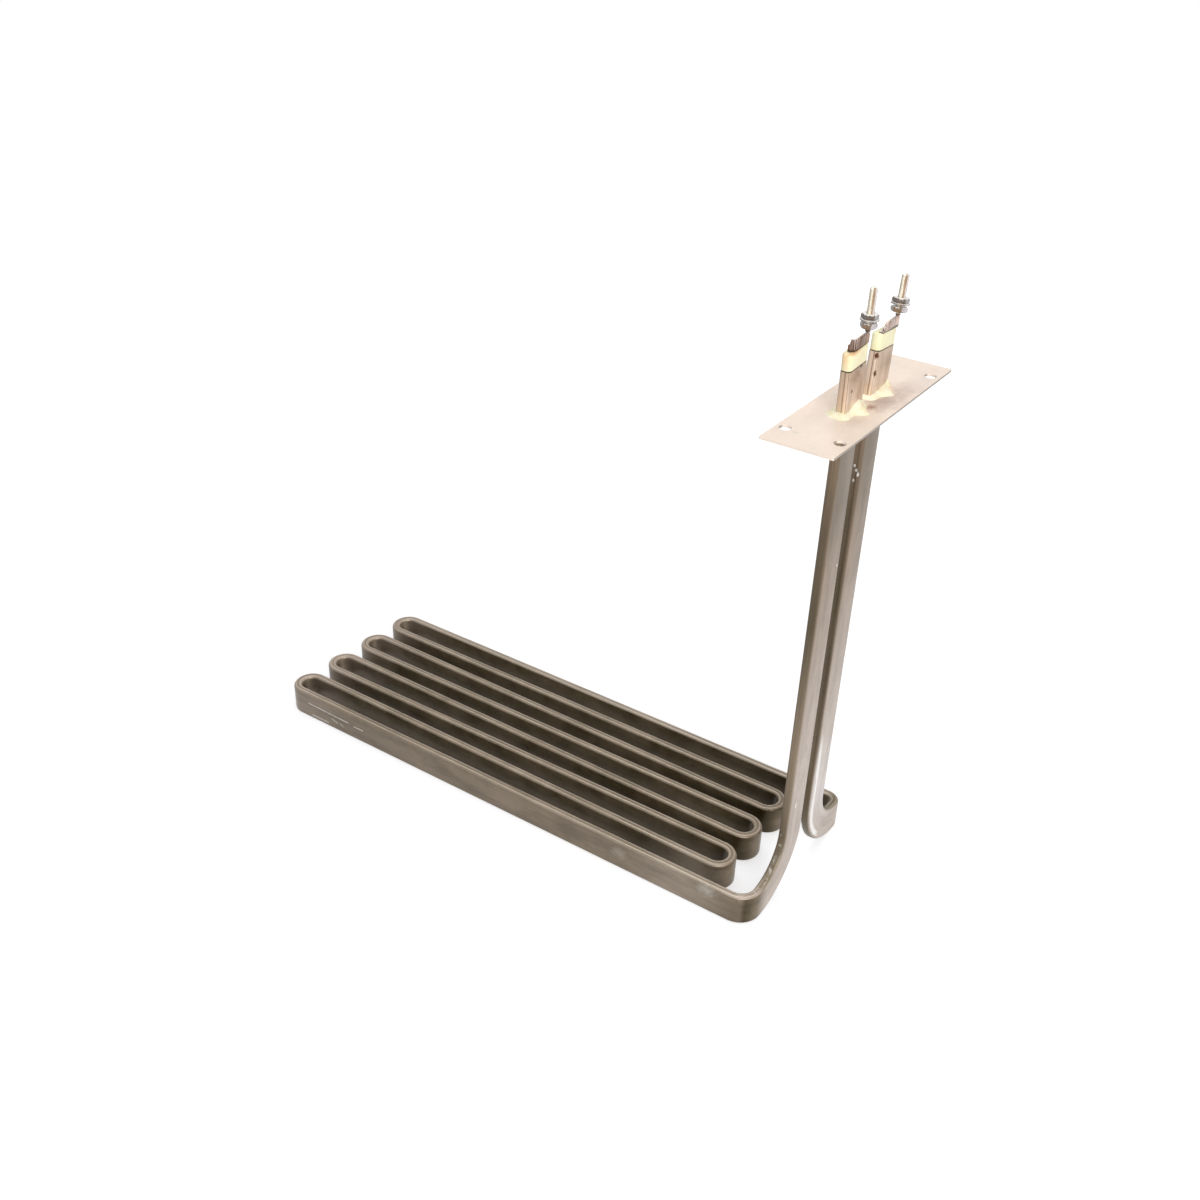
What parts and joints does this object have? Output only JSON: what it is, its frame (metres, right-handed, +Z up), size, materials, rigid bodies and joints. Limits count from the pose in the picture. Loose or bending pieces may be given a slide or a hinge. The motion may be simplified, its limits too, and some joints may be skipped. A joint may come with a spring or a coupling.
{
  "type": "flat-blade immersion heating element",
  "caption": "Flattened steel heating tube bent into a flat serpentine, with two legs rising through a drilled mounting plate to insulated threaded terminals.",
  "frame": {"origin": "centre of the four mounting holes, on the underside of the mounting plate", "axes": "+X away from the far ends of the runs, +Y from the front leg to the rear leg, +Z up along the studs"},
  "size_m": [0.4899, 0.1774, 0.4678],
  "materials": {
    "sheath_steel": "heat-darkened stainless steel",
    "oxide": "pressed powder, matt",
    "coil_wire": "bright resistance alloy",
    "pin_steel": "plain drawn steel",
    "plate_steel": "satin stainless sheet",
    "sealant": "cream sealant, satin",
    "insulator": "cream, smooth",
    "tab_steel": "heat-tinted strip",
    "stud_steel": "bright threaded rod",
    "nut_steel": "bright hexagon hardware"
  },
  "bodies": {
    "root": {"sheath": "sheath_steel", "oxide_core": "oxide", "resistance_coil": "coil_wire", "mounting_plate": "plate_steel", "cold_pin_front": "pin_steel", "sealant_bead_front": "sealant", "end_insulator_front": "insulator", "terminal_tab_front": "tab_steel", "terminal_stud_front": "stud_steel", "lower_nut_front": "nut_steel", "flat_washer_front": "nut_steel", "upper_nut_front": "nut_steel", "cold_pin_rear": "pin_steel", "sealant_bead_rear": "sealant", "end_insulator_rear": "insulator", "terminal_tab_rear": "tab_steel", "terminal_stud_rear": "stud_steel", "lower_nut_rear": "nut_steel", "flat_washer_rear": "nut_steel", "upper_nut_rear": "nut_steel"}
  },
  "joints": []
}
